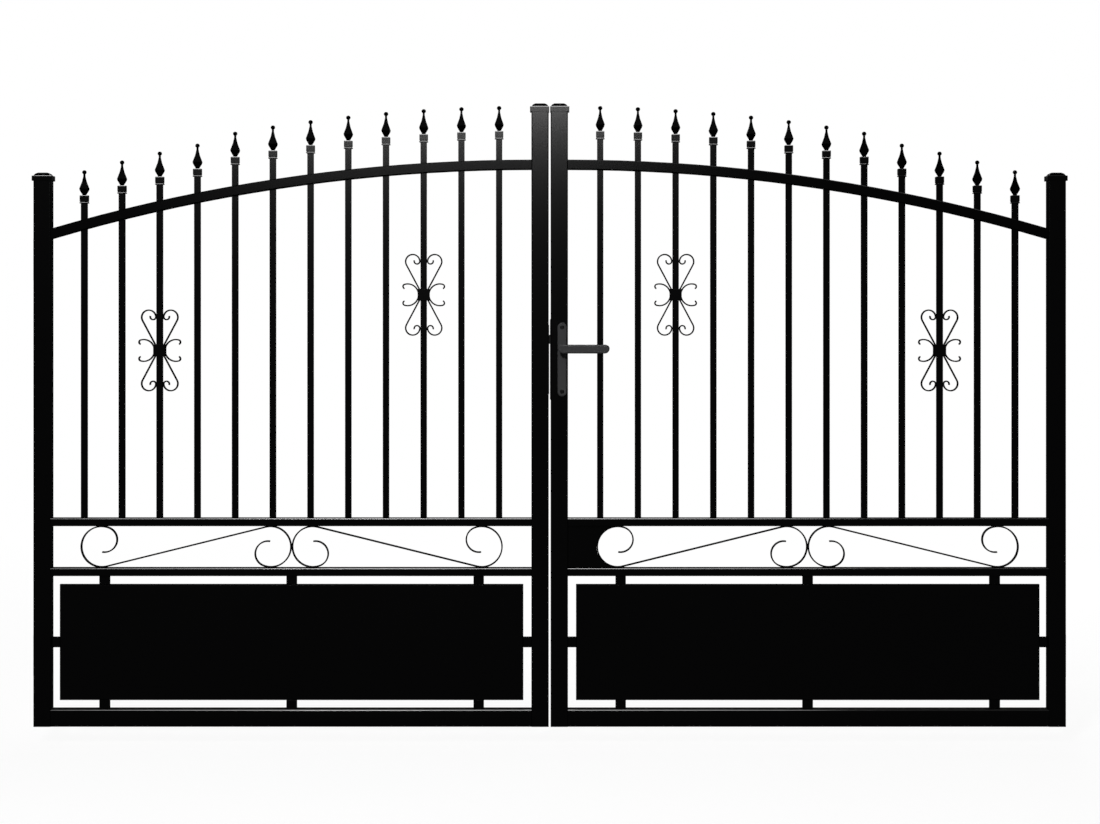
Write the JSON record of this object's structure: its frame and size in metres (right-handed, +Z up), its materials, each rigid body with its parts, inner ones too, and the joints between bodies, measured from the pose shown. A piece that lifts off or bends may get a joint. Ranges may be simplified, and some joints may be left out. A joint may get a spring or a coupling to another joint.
{
  "type": "double-leaf swing gate",
  "caption": "Arched double-leaf driveway gate of black aluminium bar with balusters, scrolls, rosettes, finials, solid lower panels, hinges and a lever handle.",
  "frame": {"origin": "middle of the flat wall face of the lower left hinge bracket", "axes": "+X runs along the closed gate from the left pillar to the right one, +Y points to the inner side that the leaves open to, +Z is up"},
  "size_m": [3, 0.193, 1.8],
  "materials": {
    "black_powder_coat": "satin black powder coat on aluminium",
    "dark_grey_coat": "dark grey satin coat on aluminium",
    "galvanised_steel": "black painted steel",
    "blackened_steel": "black finished steel"
  },
  "bodies": {
    "hinge_brackets": {"left_hinge_brackets": "galvanised_steel", "right_hinge_brackets": "galvanised_steel"},
    "left_leaf": {"left_hinge_stile": "black_powder_coat", "left_meeting_stile": "black_powder_coat", "left_stile_caps": "black_powder_coat", "left_bottom_rail": "black_powder_coat", "left_band_bottom_rail": "black_powder_coat", "left_band_top_rail": "black_powder_coat", "left_arch_rail": "black_powder_coat", "left_balusters": "black_powder_coat", "left_finial_collars": "black_powder_coat", "left_finials": "black_powder_coat", "left_rosettes": "black_powder_coat", "left_outer_scroll": "black_powder_coat", "left_inner_scroll": "black_powder_coat", "left_panel": "black_powder_coat", "left_panel_spacers": "black_powder_coat", "left_hinge_eyes": "black_powder_coat", "left_strike_plate": "blackened_steel"},
    "right_leaf": {"right_hinge_stile": "black_powder_coat", "right_meeting_stile": "black_powder_coat", "right_stile_caps": "black_powder_coat", "right_bottom_rail": "black_powder_coat", "right_band_bottom_rail": "black_powder_coat", "right_band_top_rail": "black_powder_coat", "right_arch_rail": "black_powder_coat", "right_balusters": "black_powder_coat", "right_finial_collars": "black_powder_coat", "right_finials": "black_powder_coat", "right_rosettes": "black_powder_coat", "right_outer_scroll": "black_powder_coat", "right_inner_scroll": "black_powder_coat", "right_panel": "black_powder_coat", "right_panel_spacers": "black_powder_coat", "right_hinge_eyes": "black_powder_coat", "right_lock_faceplate": "blackened_steel", "right_front_handle_plate": "dark_grey_coat", "right_back_handle_plate": "dark_grey_coat", "right_band_infill": "black_powder_coat"},
    "lever": {"right_front_lever": "dark_grey_coat", "right_back_lever": "dark_grey_coat", "right_spindle": "blackened_steel"},
    "latch": {"right_latch_bolt": "blackened_steel"}
  },
  "joints": [
    {"name": "left_leaf_swing", "type": "hinge", "parent": "hinge_brackets", "child": "left_leaf", "pos_m": [0.03, -0.03, 0], "axis": [0, 0, 1], "range_deg": [0, 90]},
    {"name": "right_leaf_swing", "type": "hinge", "parent": "hinge_brackets", "child": "right_leaf", "pos_m": [2.97, -0.03, 0], "axis": [0, 0, -1], "range_deg": [0, 90]},
    {"name": "lever_turn", "type": "hinge", "parent": "right_leaf", "child": "lever", "pos_m": [1.53575, -0.07, 0.89], "axis": [0, 1, 0], "range_deg": [0, 45], "stiffness_Nm_per_rad": 1, "springref_deg": -34.38},
    {"name": "latch_slide", "type": "slide", "parent": "right_leaf", "child": "latch", "axis": [1, 0, 0], "range_m": [0, 0.0081]}
  ],
  "couplings": [
    {"joint": "latch_slide", "follows": "lever_turn", "m_per_rad": 0.0102}
  ]
}
